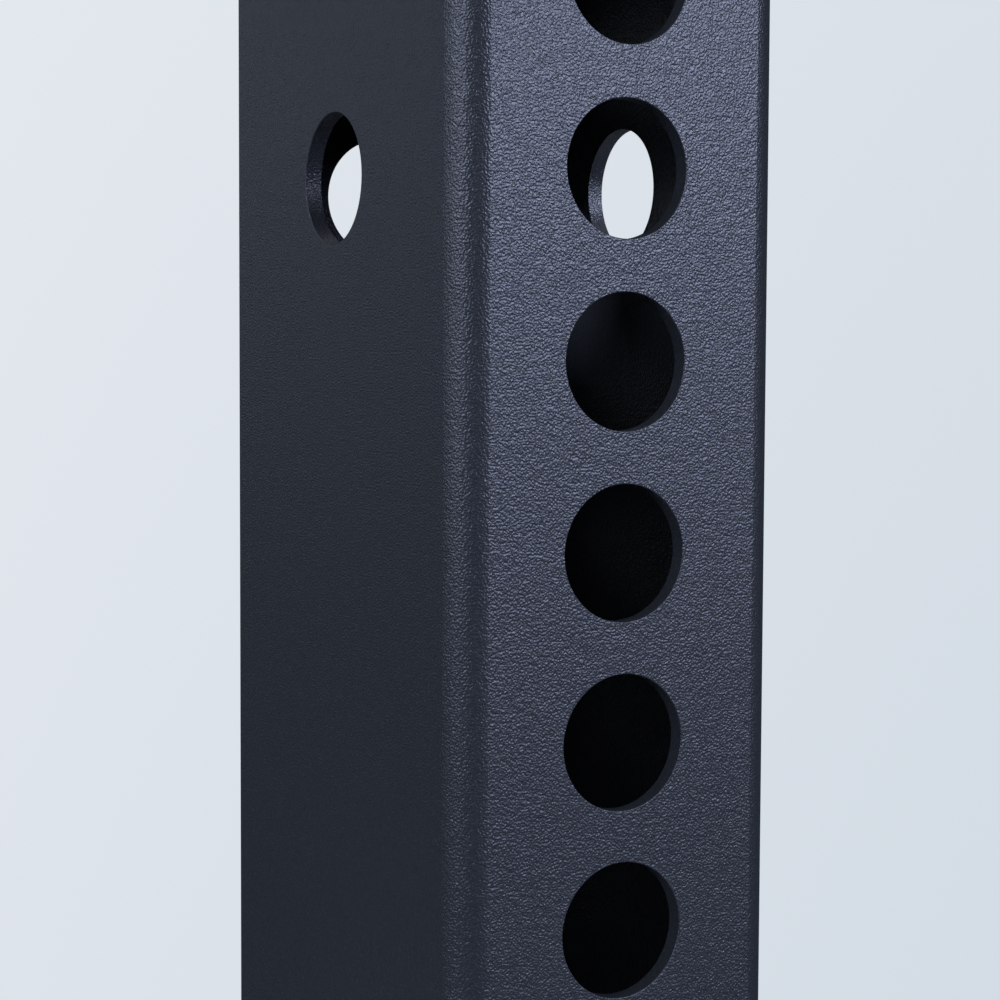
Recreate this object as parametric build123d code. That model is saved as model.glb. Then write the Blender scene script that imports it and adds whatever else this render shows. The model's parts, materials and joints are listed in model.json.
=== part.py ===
from build123d import *
import os

# Power cage: four punched rectangular uprights on foot plates, joined by bolted members, with a pair
# of J-hooks, a pair of pin-and-pipe safeties, plate storage horns and band pegs. Millimetres.
# X runs across the cage, the lifter walks in along +Y through the open front, Z is up from the floor.

# Hole grid and upright tube
PITCH = 25.4
TUBE_NARROW = 50.0
TUBE_WIDE = 76.0
WALL = 2.5
CORNER_R = 4.4
HOLE_R = 9.2
HOLE_COUNT = 80
SIDE_LADDER = 6
FIRST_SIDE_HOLE = 1

# Heights from the floor
PAD_T = 4.0
FOOT_T = 6.0
UPRIGHT_H = 2100.0
UPRIGHT_Z = PAD_T + FOOT_T
FIRST_HOLE_Z = 60.0
CAP_T = 3.0
CAP_PLUG = 15.0
CAP_FIT = 0.2
CAP_EDGE_R = 1.5

# Plan: clear space between the uprights
INSIDE_X = 1092.0
INSIDE_Y = 762.0
UPRIGHT_X = (INSIDE_X + TUBE_NARROW) / 2
UPRIGHT_Y = (INSIDE_Y + TUBE_WIDE) / 2
FRAME_HALF_Y = INSIDE_Y / 2 + TUBE_WIDE

# Foot plates and their floor anchor holes
FOOT_X = 130.0
FOOT_Y = 150.0
FOOT_CORNER_R = 10.0
ANCHOR_X = 90.0
ANCHOR_Y = 110.0
ANCHOR_R = 7.0

# Members and their end plates; hole numbers count up each upright from 0
PLATE_T = 6.0
PLATE_H = 190.0
PLATE_CORNER_R = 6.0
MEMBER_BOLT_STEP = 6
LOWER_SIDE_HOLE = 0
UPPER_SIDE_HOLE = 72
LOWER_CROSS_HOLE = 1
UPPER_CROSS_HOLE = 73
PULL_UP_BAR_R = 16.0

# M16 hexagon hardware
BOLT_R = 8.0
BOLT_CLEAR_R = 8.8
BOLT_TIP_CHAMFER = 1.2
HEX_FLATS = 24.0
HEX_CHAMFER_SHARE = 0.11
HEAD_H = 10.0
NUT_H = 14.0
WASHER_R = 15.0
WASHER_T = 3.0
THREAD_PROUD = 5.0

# J-hooks, measured from the peg's hole in the upright's front face
JHOOK_HOLE = 52
JHOOK_T = 6.0
JHOOK_GAP = 0.4
JHOOK_TOP = 22.0
JHOOK_BOTTOM = -115.0
FLANGE_TOP = -35.0
FLANGE_BACK = 40.0
FLANGE_BEND_R = 7.0
FLANGE_BEND_IN_R = 1.0
HEAD_CORNER_R = 12.0
SHELF_Z = -75.0
SHELF_REACH = 76.0
SHELF_BEND_R = 9.0
LIP_TOP = -33.0
LIP_EDGE_R = 2.0
GUSSET_REACH = 58.0
GUSSET_DEPTH = 37.0
PEG_R = 8.75
PEG_CLEAR_R = 8.8
PEG_DEPTH = 44.0
PEG_HEAD_R = 13.0
PEG_HEAD_H = 6.0
PEG_HEAD_EDGE_R = 3.6
PEG_TIP_CHAMFER = 2.0
LINER_T = 8.0
LINER_W = 46.0
LINER_BACK_TOP = -24.0
LINER_CRADLE_R = 4.0
LINER_CAP = 3.0
LINER_SKIRT = 6.0
LINER_EDGE_R = 1.5
SCREW_R = 3.0
SCREW_HEAD_R = 5.5
SCREW_HEAD_H = 3.3
SOCKET_R = 2.3
SOCKET_DEPTH = 2.3
SCREW_X = 12.0
SCREW_Z = -44.0

# Pin-and-pipe safeties
SAFETY_HOLE = 28
ROD_R = 8.0
ROD_PAST_REAR = 18.0
ROD_COLLAR_R = 15.0
ROD_COLLAR_T = 8.0
ROD_COLLAR_CHAMFER = 1.0
ROD_TIP_CHAMFER = 3.0
ROD_STEM_R = 6.0
GRIP_R = 15.0
GRIP_L = 72.0
GRIP_END_T = 8.0
GRIP_END_R = 4.0
GRIP_GROOVES = 6
GRIP_GROOVE_R = 2.0
GRIP_GROOVE_OFFSET = 0.8
PIPE_R = 30.0
PIPE_WALL = 3.0
PIPE_END_GAP = 1.0
BUSH_FLANGE_T = 5.0
BUSH_EDGE_R = 1.5
BUSH_DEPTH = 30.0
BUSH_FIT = 0.1
BUSH_BORE_R = 8.2

# Plate storage horns on the back of the rear uprights
HORN_HOLES = (16, 34)
HORN_BOLT_STEP = 2
HORN_PLATE_T = 8.0
HORN_PLATE_H = 150.0
HORN_R = 24.0
HORN_WALL = 3.0
HORN_L = 230.0
HORN_COLLAR_R = 27.0
BUMPER_R = 34.0
BUMPER_T = 6.0
HORN_CAP_R = 23.5
HORN_CAP_T = 4.0
HORN_CAP_DOME_R = 2.8
HORN_CAP_PLUG = 18.0

# Band pegs on the outer faces of the lower side members
BAND_PEG_Y = 150.0
BAND_PEG_R = 9.5
BAND_PEG_L = 62.0
BAND_PEG_HEAD_R = 15.0
BAND_PEG_HEAD_T = 6.0
BAND_PEG_EDGE_R = 1.5
BAND_STUD_R = 5.0
BAND_STUD_PROUD = 2.0
BAND_STUD_CLEAR_R = 5.4
BAND_NUT_FLATS = 16.0
BAND_NUT_H = 8.0

LEFT = -1
RIGHT = 1
SIDES = {"left": LEFT, "right": RIGHT}
ENDS = {"front": -1, "rear": 1}

# The origin is the bottom centre of the whole object's box, so the frame stands off it along Y
FRONT_REACH = FRAME_HALF_Y + JHOOK_GAP + ROD_COLLAR_T + GRIP_L
REAR_REACH = FRAME_HALF_Y + HORN_PLATE_T + HORN_L + HORN_CAP_T
FRAME_Y = (FRONT_REACH - REAR_REACH) / 2

# One rotation for each direction that a shape drawn along +Z can be turned to
ALONG_PLUS_X = Rot(0, 90, 0)
ALONG_MINUS_X = Rot(0, -90, 0)
ALONG_PLUS_Y = Rot(-90, 0, 0)
ALONG_MINUS_Y = Rot(90, 0, 0)
MIRROR_X = Plane.YZ


def hole_z(number):
    """Height of an upright's hole, counted from 0 at the bottom."""
    return FIRST_HOLE_Z + number * PITCH


def disc(radius, length):
    """Cylinder standing on z = 0."""
    return Pos(0, 0, length / 2) * Cylinder(radius, length)


def ring(outer, inner, length):
    return disc(outer, length) - disc(inner, length)


def plate(width, depth, thickness, corner):
    """Plate standing on z = 0 with rounded corners in plan."""
    return extrude(RectangleRounded(width, depth, corner), thickness)


def box_tube(width, depth, length):
    """Rectangular hollow section standing on z = 0."""
    outer = RectangleRounded(width, depth, CORNER_R)
    inner = RectangleRounded(width - 2 * WALL, depth - 2 * WALL, CORNER_R - WALL)
    return extrude(outer - inner, length)


def hex_prism(flats, height):
    """Hexagon with its upper corners turned off, standing on z = 0."""
    corner_r = flats / 3 ** 0.5
    prism = extrude(RegularPolygon(corner_r, 6), height)
    cone = Pos(0, 0, height / 2) * Cylinder(corner_r, height)
    return prism & chamfer(cone.edges().group_by(Axis.Z)[-1], corner_r * HEX_CHAMFER_SHARE)


def bolt(grip):
    """Hexagon bolt: the head's seat is at z = 0, the shank runs down."""
    length = grip + NUT_H + THREAD_PROUD
    shank = Pos(0, 0, -length / 2) * Cylinder(BOLT_R, length)
    tip = shank.edges().group_by(Axis.Z)[0]
    return hex_prism(HEX_FLATS, HEAD_H) + chamfer(tip, BOLT_TIP_CHAMFER)


def nut():
    """Hexagon nut standing on z = 0, bored to the bolt's size."""
    return hex_prism(HEX_FLATS, NUT_H) - disc(BOLT_R, NUT_H)


def washer():
    return ring(WASHER_R, BOLT_CLEAR_R, WASHER_T)


def bolt_set(grip):
    """Bolt, its two washers and its nut, head up; the joint's outer face is at z = 0."""
    stack = grip + 2 * WASHER_T
    return (
        [Pos(0, 0, WASHER_T) * bolt(stack)],
        [washer(), Pos(0, 0, -grip - WASHER_T) * washer()],
        [Pos(0, 0, -grip - WASHER_T) * Rot(180, 0, 0) * nut()],
    )


def upright():
    """Punched upright, standing on z = 0: holes along Y at every pitch, along X on the side ladder."""
    tube = box_tube(TUBE_NARROW, TUBE_WIDE, UPRIGHT_H)
    through = Cylinder(HOLE_R, 2 * TUBE_WIDE)
    holes = []
    for number in range(HOLE_COUNT):
        spot = Pos(0, 0, hole_z(number) - UPRIGHT_Z)
        holes.append(spot * ALONG_PLUS_Y * through)
        if number % SIDE_LADDER == FIRST_SIDE_HOLE:
            holes.append(spot * ALONG_PLUS_X * through)
    return tube - holes


def foot_sheet(thickness):
    """Foot plate or its pad, standing on z = 0, with the four anchor holes."""
    holes = [spot * disc(ANCHOR_R, thickness) for spot in GridLocations(ANCHOR_X, ANCHOR_Y, 2, 2)]
    return plate(FOOT_X, FOOT_Y, thickness, FOOT_CORNER_R) - holes


def top_cap():
    """Plastic cap over an upright's open end; the tube's end is at z = 0."""
    lid = plate(TUBE_NARROW, TUBE_WIDE, CAP_T, CORNER_R)
    lid = fillet(lid.edges().group_by(Axis.Z)[-1], CAP_EDGE_R)
    less = 2 * (WALL + CAP_FIT)
    plug = box_tube(TUBE_NARROW - less, TUBE_WIDE - less, CAP_PLUG)
    return lid + Pos(0, 0, -CAP_PLUG) * plug


def end_plate(width):
    """Member's end plate standing on z = 0, long along Y, with its two bolt holes."""
    reach = MEMBER_BOLT_STEP * PITCH / 2
    holes = [Pos(0, y, 0) * disc(BOLT_CLEAR_R, PLATE_T) for y in (-reach, reach)]
    return plate(width, PLATE_H, PLATE_T, PLATE_CORNER_R) - holes


def member(core, width, length):
    """A core between two end plates, centred on the origin and running along Z."""
    ends = [Pos(0, 0, z) * end_plate(width) for z in (-length / 2, length / 2 - PLATE_T)]
    return core + ends


def tube_member(width, length):
    """Welded member of the upright's own section, its wide side along Y, running along Z."""
    core = Pos(0, 0, -length / 2) * box_tube(TUBE_NARROW, TUBE_WIDE, length)
    return member(core, width, length)


def pull_up_bar():
    """Round bar between two end plates, running along Z."""
    return member(Cylinder(PULL_UP_BAR_R, INSIDE_X), TUBE_WIDE, INSIDE_X)


def side_member(pegged):
    """Member between a front and a rear upright, running along Y; the lower ones carry band pegs."""
    body = ALONG_PLUS_Y * tube_member(TUBE_NARROW, INSIDE_Y)
    if not pegged:
        return body
    stud_hole = ALONG_PLUS_X * Cylinder(BAND_STUD_CLEAR_R, 2 * TUBE_NARROW)
    return body - [Pos(0, y, 0) * stud_hole for y in (-BAND_PEG_Y, BAND_PEG_Y)]


def outline(points, radii):
    """Face through the points, each corner rounded by its own radius."""
    face = make_face(Polyline(*points, close=True))
    for point, radius in zip(points, radii):
        if radius:
            corner = face.vertices().sort_by_distance((point[0], point[1], 0))[0]
            face = fillet(corner, radius)
    return face


def across(face, width):
    """Turn a face drawn in (depth, height) into a solid centred on X, depth along Y and height along Z."""
    return Pos(-width / 2, 0, 0) * extrude(Plane.YZ * face, width)


def jhook_bracket():
    """Right-hand J-hook: back plate with a flange round the upright's outer side, shelf, lip and gusset."""
    back = -JHOOK_GAP
    front = back - JHOOK_T
    half = TUBE_NARROW / 2
    flange_in = half + JHOOK_GAP
    flange_out = flange_in + JHOOK_T
    bend = outline(
        [(-half, front), (flange_out, front), (flange_out, FLANGE_BACK), (flange_in, FLANGE_BACK),
         (flange_in, back), (-half, back)],
        [0, FLANGE_BEND_R, 0, 0, FLANGE_BEND_IN_R, 0],
    )
    wrap = Pos(0, 0, JHOOK_BOTTOM) * extrude(bend, FLANGE_TOP - JHOOK_BOTTOM)
    upper = plate(TUBE_NARROW, 2 * JHOOK_TOP, JHOOK_T, HEAD_CORNER_R)
    lower = Pos(0, FLANGE_TOP / 2, JHOOK_T / 2) * Box(TUBE_NARROW, -FLANGE_TOP, JHOOK_T)
    head = Pos(0, back, 0) * ALONG_MINUS_Y * (upper + lower)
    shelf = outline(
        [(front, SHELF_Z), (-SHELF_REACH, SHELF_Z), (-SHELF_REACH, LIP_TOP),
         (-SHELF_REACH + JHOOK_T, LIP_TOP), (-SHELF_REACH + JHOOK_T, SHELF_Z + JHOOK_T),
         (front, SHELF_Z + JHOOK_T)],
        [0, SHELF_BEND_R, LIP_EDGE_R, LIP_EDGE_R, LINER_CRADLE_R, 0],
    )
    gusset = outline(
        [(front, SHELF_Z), (front, SHELF_Z - GUSSET_DEPTH), (front - JHOOK_T, SHELF_Z - GUSSET_DEPTH),
         (-GUSSET_REACH, SHELF_Z)],
        [0, 0, 0, 0],
    )
    body = wrap + head + across(shelf, TUBE_NARROW) + across(gusset, JHOOK_T)
    peg_hole = ALONG_PLUS_Y * Cylinder(PEG_CLEAR_R, 4 * JHOOK_T)
    screw_hole = ALONG_PLUS_Y * Cylinder(SCREW_R, 4 * JHOOK_T)
    return body - [peg_hole] - [Pos(x, 0, SCREW_Z) * screw_hole for x in (-SCREW_X, SCREW_X)]


def jhook_liner():
    """Plastic liner inside the J-hook's cradle and over its lip, with two countersunk screw holes."""
    back = -JHOOK_GAP - JHOOK_T
    floor = SHELF_Z + JHOOK_T
    lip = -SHELF_REACH + JHOOK_T
    skirt = LIP_TOP - LINER_SKIRT
    face = outline(
        [(back, floor), (back, LINER_BACK_TOP), (back - LINER_T, LINER_BACK_TOP),
         (back - LINER_T, floor + LINER_T), (lip + LINER_T, floor + LINER_T),
         (lip + LINER_T, LIP_TOP + LINER_CAP),
         (-SHELF_REACH - LINER_CAP, LIP_TOP + LINER_CAP), (-SHELF_REACH - LINER_CAP, skirt),
         (-SHELF_REACH, skirt), (-SHELF_REACH, LIP_TOP), (lip, LIP_TOP), (lip, floor)],
        [0, LINER_EDGE_R, LINER_EDGE_R, LINER_CRADLE_R, LINER_CRADLE_R, LINER_EDGE_R,
         LINER_EDGE_R, LINER_EDGE_R, 0, 0, 0, LINER_CRADLE_R],
    )
    body = across(face, LINER_W)
    for x in (-SCREW_X, SCREW_X):
        body -= Pos(x, back - LINER_T, SCREW_Z) * ALONG_PLUS_Y * screw_space()
    return body


def screw_space():
    """Room for a countersunk screw driven along +Z, its head flush with z = 0."""
    sink = Pos(0, 0, SCREW_HEAD_H / 2) * Cone(SCREW_HEAD_R, SCREW_R, SCREW_HEAD_H)
    return sink + disc(SCREW_R, LINER_T)


def jhook_screw():
    """Countersunk screw along +Z from z = 0 through liner and plate, with a hexagon socket."""
    length = LINER_T + JHOOK_T
    sink = Pos(0, 0, SCREW_HEAD_H / 2) * Cone(SCREW_HEAD_R, SCREW_R, SCREW_HEAD_H)
    socket = extrude(RegularPolygon(SOCKET_R, 6), SOCKET_DEPTH)
    return sink + disc(SCREW_R, length) - socket


def jhook_peg():
    """Peg the J-hook hangs from, along +Y from its head in front of the bracket."""
    start = -JHOOK_GAP - JHOOK_T - PEG_HEAD_H
    shaft = disc(PEG_R, PEG_DEPTH - start)
    shaft = chamfer(shaft.edges().group_by(Axis.Z)[-1], PEG_TIP_CHAMFER)
    head = disc(PEG_HEAD_R, PEG_HEAD_H)
    head = fillet(head.edges().group_by(Axis.Z)[0], PEG_HEAD_EDGE_R)
    return Pos(0, start, 0) * ALONG_PLUS_Y * (shaft + head)


def safety_rod():
    """Steel rod along +Z with its stop collar's seat at z = 0 and a stem for the grip."""
    length = 2 * FRAME_HALF_Y + JHOOK_GAP + ROD_PAST_REAR
    shaft = disc(ROD_R, length)
    shaft = chamfer(shaft.edges().group_by(Axis.Z)[-1], ROD_TIP_CHAMFER)
    collar = Pos(0, 0, -ROD_COLLAR_T) * disc(ROD_COLLAR_R, ROD_COLLAR_T)
    collar = chamfer(collar.edges(), ROD_COLLAR_CHAMFER)
    stem = Pos(0, 0, -ROD_COLLAR_T - GRIP_L + GRIP_END_T) * disc(ROD_STEM_R, GRIP_L - GRIP_END_T)
    return shaft + collar + stem


def safety_grip():
    """Ribbed hand grip on the rod's stem, running down from the collar."""
    body = fillet(disc(GRIP_R, GRIP_L).edges(), GRIP_END_R)
    step = GRIP_L / (GRIP_GROOVES + 1)
    groove = Torus(GRIP_R + GRIP_GROOVE_OFFSET, GRIP_GROOVE_R)
    body -= [Pos(0, 0, step * (i + 1)) * groove for i in range(GRIP_GROOVES)]
    body -= Pos(0, 0, GRIP_END_T) * disc(ROD_STEM_R, GRIP_L - GRIP_END_T)
    return Pos(0, 0, -ROD_COLLAR_T - GRIP_L) * body


def pipe_bush():
    """Flanged plastic bush for a pipe's end: the pipe's end face is at z = 0, the plug runs down."""
    flange = disc(PIPE_R, BUSH_FLANGE_T)
    flange = fillet(flange.edges().group_by(Axis.Z)[-1], BUSH_EDGE_R)
    plug = Pos(0, 0, -BUSH_DEPTH) * disc(PIPE_R - PIPE_WALL - BUSH_FIT, BUSH_DEPTH)
    return flange + plug - Cylinder(BUSH_BORE_R, 4 * BUSH_DEPTH)


def horn():
    """Storage horn along +Z from its bolted plate, whose seat is at z = 0 and long side along Y.

    A collar at its root carries the rubber bumper.
    """
    reach = HORN_BOLT_STEP * PITCH
    holes = [Pos(0, y, 0) * disc(BOLT_CLEAR_R, HORN_PLATE_T) for y in (-reach, reach)]
    base = plate(TUBE_NARROW, HORN_PLATE_H, HORN_PLATE_T, PLATE_CORNER_R) - holes
    collar = ring(HORN_COLLAR_R, HORN_R - HORN_WALL, BUMPER_T)
    return base + Pos(0, 0, HORN_PLATE_T) * (ring(HORN_R, HORN_R - HORN_WALL, HORN_L) + collar)


def horn_cap():
    """Domed plastic cap, a little smaller than the horn, whose open end is at z = 0."""
    lid = disc(HORN_CAP_R, HORN_CAP_T)
    lid = fillet(lid.edges().group_by(Axis.Z)[-1], HORN_CAP_DOME_R)
    return lid + Pos(0, 0, -HORN_CAP_PLUG) * disc(HORN_R - HORN_WALL - BUSH_FIT, HORN_CAP_PLUG)


def band_peg():
    """Band peg along +Z from the member's face at z = 0, with its stud running back through the member."""
    body = disc(BAND_PEG_R, BAND_PEG_L)
    head = Pos(0, 0, BAND_PEG_L) * disc(BAND_PEG_HEAD_R, BAND_PEG_HEAD_T)
    head = fillet(head.edges(), BAND_PEG_EDGE_R)
    stud_l = TUBE_NARROW + BAND_NUT_H + BAND_STUD_PROUD
    return body + head + Pos(0, 0, -stud_l) * disc(BAND_STUD_R, stud_l)


def band_nut():
    """Lock nut on the member's far face, running down from z = 0."""
    body = hex_prism(BAND_NUT_FLATS, BAND_NUT_H) - disc(BAND_STUD_R, BAND_NUT_H)
    return Rot(180, 0, 0) * body


def mirrored(shape, side):
    """The shape itself on the right, its mirror image on the left."""
    return shape if side == RIGHT else mirror(shape, MIRROR_X)


nodes = {}


def add(name, *solids):
    """Put solids, placed about the frame's centre, into a named node about the object's origin."""
    placed = [Pos(0, FRAME_Y, 0) * solid for solid in solids]
    nodes.setdefault(name, []).extend(placed)


def add_bolt_sets(name, places, grip):
    """Bolts, washers and nuts at the places given, each node holding all that are alike."""
    for place in places:
        bolts, washers, nuts = bolt_set(grip)
        add(name + "_bolts", *[place * solid for solid in bolts])
        add(name + "_washers", *[place * solid for solid in washers])
        add(name + "_nuts", *[place * solid for solid in nuts])


# Uprights with their feet and caps
post = upright()
for end, y_side in ENDS.items():
    for side, x_side in SIDES.items():
        corner = Pos(x_side * UPRIGHT_X, y_side * UPRIGHT_Y, 0)
        add(f"upright_{end}_{side}", corner * Pos(0, 0, UPRIGHT_Z) * post)
        add(f"foot_plate_{end}_{side}", corner * Pos(0, 0, PAD_T) * foot_sheet(FOOT_T))
        add(f"foot_pad_{end}_{side}", corner * foot_sheet(PAD_T))
        add(f"top_cap_{end}_{side}", corner * Pos(0, 0, UPRIGHT_Z + UPRIGHT_H) * top_cap())

# Side members, with bolts along Y through the uprights
for level, first in {"lower": LOWER_SIDE_HOLE, "upper": UPPER_SIDE_HOLE}.items():
    middle = hole_z(first + MEMBER_BOLT_STEP / 2)
    for side, x_side in SIDES.items():
        place = Pos(x_side * UPRIGHT_X, 0, middle)
        add(f"{level}_side_member_{side}", place * side_member(level == "lower"))
        for number in (first, first + MEMBER_BOLT_STEP):
            spots = [
                Pos(x_side * UPRIGHT_X, -FRAME_HALF_Y, hole_z(number)) * ALONG_MINUS_Y,
                Pos(x_side * UPRIGHT_X, FRAME_HALF_Y, hole_z(number)) * ALONG_PLUS_Y,
            ]
            add_bolt_sets("side_member", spots, TUBE_WIDE + PLATE_T)

# Crossmembers and pull-up bar, with bolts along X through the uprights
across_parts = {
    "lower_rear_crossmember": (tube_member(TUBE_WIDE, INSIDE_X), UPRIGHT_Y, LOWER_CROSS_HOLE),
    "upper_rear_crossmember": (tube_member(TUBE_WIDE, INSIDE_X), UPRIGHT_Y, UPPER_CROSS_HOLE),
    "pull_up_bar": (pull_up_bar(), -UPRIGHT_Y, UPPER_CROSS_HOLE),
}
for name, (shape, y, first) in across_parts.items():
    middle = hole_z(first + MEMBER_BOLT_STEP / 2)
    add(name, Pos(0, y, middle) * Plane.YZ.location * shape)
    for number in (first, first + MEMBER_BOLT_STEP):
        outer = UPRIGHT_X + TUBE_NARROW / 2
        spots = [
            Pos(-outer, y, hole_z(number)) * ALONG_MINUS_X,
            Pos(outer, y, hole_z(number)) * ALONG_PLUS_X,
        ]
        add_bolt_sets("crossmember", spots, TUBE_NARROW + PLATE_T)

# J-hooks on the front uprights
for side, x_side in SIDES.items():
    place = Pos(x_side * UPRIGHT_X, -FRAME_HALF_Y, hole_z(JHOOK_HOLE))
    head_y = -JHOOK_GAP - JHOOK_T - LINER_T
    screws = [Pos(x, head_y, SCREW_Z) * ALONG_PLUS_Y * jhook_screw() for x in (-SCREW_X, SCREW_X)]
    add(f"jhook_bracket_{side}", place * mirrored(jhook_bracket(), x_side))
    add(f"jhook_liner_{side}", place * jhook_liner())
    add(f"jhook_screws_{side}", *[place * screw for screw in screws])
    add(f"jhook_peg_{side}", place * jhook_peg())

# Safeties between the front and rear uprights
for side, x_side in SIDES.items():
    axis = Pos(x_side * UPRIGHT_X, 0, hole_z(SAFETY_HOLE)) * ALONG_PLUS_Y
    seat = axis * Pos(0, 0, -FRAME_HALF_Y - JHOOK_GAP)
    pipe_half = INSIDE_Y / 2 - PIPE_END_GAP - BUSH_FLANGE_T
    pipe = Pos(0, 0, -pipe_half) * ring(PIPE_R, PIPE_R - PIPE_WALL, 2 * pipe_half)
    add(f"safety_rod_{side}", seat * safety_rod())
    add(f"safety_grip_{side}", seat * safety_grip())
    add(f"safety_pipe_{side}", axis * pipe)
    add(
        f"safety_bushes_{side}",
        axis * Pos(0, 0, pipe_half) * pipe_bush(),
        axis * Pos(0, 0, -pipe_half) * Rot(180, 0, 0) * pipe_bush(),
    )

# Plate storage horns on the rear uprights
for level, number in zip(("lower", "upper"), HORN_HOLES):
    for side, x_side in SIDES.items():
        seat = Pos(x_side * UPRIGHT_X, FRAME_HALF_Y, hole_z(number)) * ALONG_PLUS_Y
        add(f"plate_horn_{level}_{side}", seat * horn())
        add("plate_horn_bumpers", seat * Pos(0, 0, HORN_PLATE_T) * ring(BUMPER_R, HORN_COLLAR_R, BUMPER_T))
        add("plate_horn_caps", seat * Pos(0, 0, HORN_PLATE_T + HORN_L) * horn_cap())
        reach = HORN_BOLT_STEP * PITCH
        spots = [seat * Pos(0, y, HORN_PLATE_T) for y in (-reach, reach)]
        add_bolt_sets("plate_horn", spots, TUBE_WIDE + HORN_PLATE_T)

# Band pegs on the lower side members
peg_z = hole_z(LOWER_SIDE_HOLE + MEMBER_BOLT_STEP / 2)
for x_side, turn in ((LEFT, ALONG_MINUS_X), (RIGHT, ALONG_PLUS_X)):
    for y in (-BAND_PEG_Y, BAND_PEG_Y):
        face = Pos(x_side * (UPRIGHT_X + TUBE_NARROW / 2), y, peg_z) * turn
        add("band_pegs", face * band_peg())
        add("band_peg_nuts", face * Pos(0, 0, -TUBE_NARROW) * band_nut())

os.makedirs("parts", exist_ok=True)
for name, solids in nodes.items():
    bodies = [body for shape in solids for body in shape.solids()]
    export_step(bodies[0] if len(bodies) == 1 else Compound(children=bodies), f"parts/{name}.step")
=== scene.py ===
import bmesh
import bpy
import json
import math
from mathutils import Matrix, Vector


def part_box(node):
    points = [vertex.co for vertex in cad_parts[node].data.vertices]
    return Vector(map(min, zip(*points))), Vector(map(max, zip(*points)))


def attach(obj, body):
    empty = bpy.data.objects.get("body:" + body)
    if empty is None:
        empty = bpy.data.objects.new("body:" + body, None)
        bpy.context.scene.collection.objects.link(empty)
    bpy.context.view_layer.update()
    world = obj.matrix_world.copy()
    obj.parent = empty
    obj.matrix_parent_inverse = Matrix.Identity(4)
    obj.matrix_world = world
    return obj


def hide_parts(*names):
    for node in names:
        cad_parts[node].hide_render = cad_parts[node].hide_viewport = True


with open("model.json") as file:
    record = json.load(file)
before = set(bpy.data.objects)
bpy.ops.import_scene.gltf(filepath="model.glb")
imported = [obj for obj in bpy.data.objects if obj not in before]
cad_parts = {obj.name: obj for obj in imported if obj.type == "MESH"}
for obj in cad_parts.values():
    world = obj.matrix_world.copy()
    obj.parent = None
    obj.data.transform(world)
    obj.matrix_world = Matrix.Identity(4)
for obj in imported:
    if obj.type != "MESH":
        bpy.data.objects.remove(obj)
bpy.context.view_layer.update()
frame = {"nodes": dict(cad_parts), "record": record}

# Driving dimensions of the punched tube, in metres
PITCH = 0.0254
HOLE_R = 0.0092
HOLE_COUNT = 80
SIDE_LADDER = 6
FIRST_SIDE_HOLE = 1
FIRST_HOLE_Z = 0.060
WALL = 0.0025
CORNER_R = 0.0044
CORNER_KINK = math.radians(10)
RIM_R = 0.00015
RIM_STEPS = 3
INNER_RIM_R = 0.0001
INNER_RIM_STEPS = 2

# The hole that the camera looks at, and how finely the tube is meshed round it and elsewhere
VIEW_HOLE = 43
VIEW_SPAN = 9
FINE_HOLE = 96
PLAIN_HOLE = 32
FINE_CORNER = 14
PLAIN_CORNER = 5

# Faces of a turned shape that meet more sharply than this keep their edge
SMOOTH_BELOW = math.radians(35)
WASHER_SEGMENTS = 36
TURNED_SEGMENTS = 64
FINE_SEGMENTS = 96

# Hexagon heads and nuts
HEX_CONE = math.radians(30)
HEX_STEPS = 8

# Threads: depth as a share of the pitch, and how finely they are meshed
THREAD_DEPTH = 0.54
THREAD_SEGMENTS = 32
THREAD_ROWS = 8
THREAD_PROBE = 1 / 40

# Weld beads
BEAD_RIPPLE = 0.0021
BEAD_SWELL = 0.10
BEAD_SIDES = 8

SIDES = {"left": -1, "right": 1}
ENDS = {"front": -1, "rear": 1}


def hole_z(number):
    """Height of an upright's hole, counted from 0 at the bottom."""
    return FIRST_HOLE_Z + number * PITCH


def body_of(node):
    """The body that a CAD node belongs to."""
    bodies = frame["record"]["behaviour"]["bodies"]
    return next(body for body, nodes in bodies.items() if node in nodes)


def middle(node):
    """Middle of a CAD node's box."""
    low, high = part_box(node)
    return (low + high) / 2


# ---------------------------------------------------------------- meshes

class Shell:
    """A mesh being built: shared vertices, and its own normal at every face corner."""

    def __init__(self):
        self.index = {}
        self.faces = []
        self.normals = []

    def vertex(self, point):
        key = (round(point[0], 7), round(point[1], 7), round(point[2], 7))
        return self.index.setdefault(key, len(self.index))

    def face(self, *corners):
        """Add a face from (point, normal) corners, anticlockwise from outside."""
        found = []
        for point, normal in corners:
            number = self.vertex(point)
            if number not in [n for n, _ in found]:
                found.append((number, normal))
        if len(found) > 2:
            self.faces.append([n for n, _ in found])
            self.normals.extend(normal for _, normal in found)

    def strip(self, near, far):
        """Quads between two equal closed rows of (point, normal); near is first, turning anticlockwise."""
        for i in range(len(near)):
            j = (i + 1) % len(near)
            self.face(near[i], near[j], far[j], far[i])

    def build(self, name, offset=(0, 0, 0)):
        mesh = bpy.data.meshes.new(name)
        mesh.from_pydata([Vector(p) + Vector(offset) for p in self.index], [], self.faces)
        mesh.polygons.foreach_set("use_smooth", [True] * len(self.faces))
        mesh.normals_split_custom_set(self.normals)
        piece = bpy.data.objects.new(name, mesh)
        bpy.context.scene.collection.objects.link(piece)
        return piece


class Wall:
    """One flat wall of a tube: u across it, z up, depth into the metal."""

    def __init__(self, centre, across, outward, half):
        self.centre = Vector(centre)
        self.across = Vector(across)
        self.outward = Vector(outward)
        self.half = half

    def at(self, u, z, depth=0.0):
        return self.centre + self.across * u + Vector((0, 0, z)) - self.outward * depth

    def way(self, u, z, outward):
        return self.across * u + Vector((0, 0, z)) + self.outward * outward


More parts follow.
